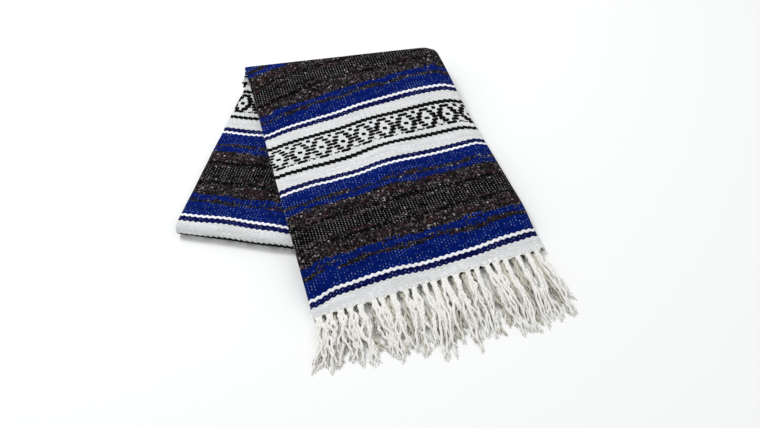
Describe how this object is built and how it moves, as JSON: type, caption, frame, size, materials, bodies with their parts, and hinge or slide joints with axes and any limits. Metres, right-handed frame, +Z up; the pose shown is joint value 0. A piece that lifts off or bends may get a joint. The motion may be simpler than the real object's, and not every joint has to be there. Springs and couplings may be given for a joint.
{
  "type": "folded striped blanket with fringed hem",
  "caption": "Striped woven blanket, folded into a strip of layers and over once more askew, lying flat with a knotted fringe.",
  "frame": {"origin": "centre of the bounding box, on the surface that the blanket lies on", "axes": "+Z up through the folded layers, +Y from the fringed hem towards the top fold, +X to the right as seen from the fringe"},
  "size_m": [0.5325, 0.5723, 0.0534],
  "materials": {
    "striped_cloth": "matt woven acrylic and cotton, blue, white, black and grey-brown stripes",
    "fringe_yarn": "matt twisted cotton yarn, off-white"
  },
  "bodies": {
    "root": {"front_cloth": "striped_cloth", "front_inner_layers": "striped_cloth", "back_cloth": "striped_cloth", "back_inner_layers": "striped_cloth", "tail_layers": "striped_cloth", "fringe_top": "fringe_yarn", "fringe_middle": "fringe_yarn", "fringe_bottom": "fringe_yarn"}
  },
  "joints": []
}
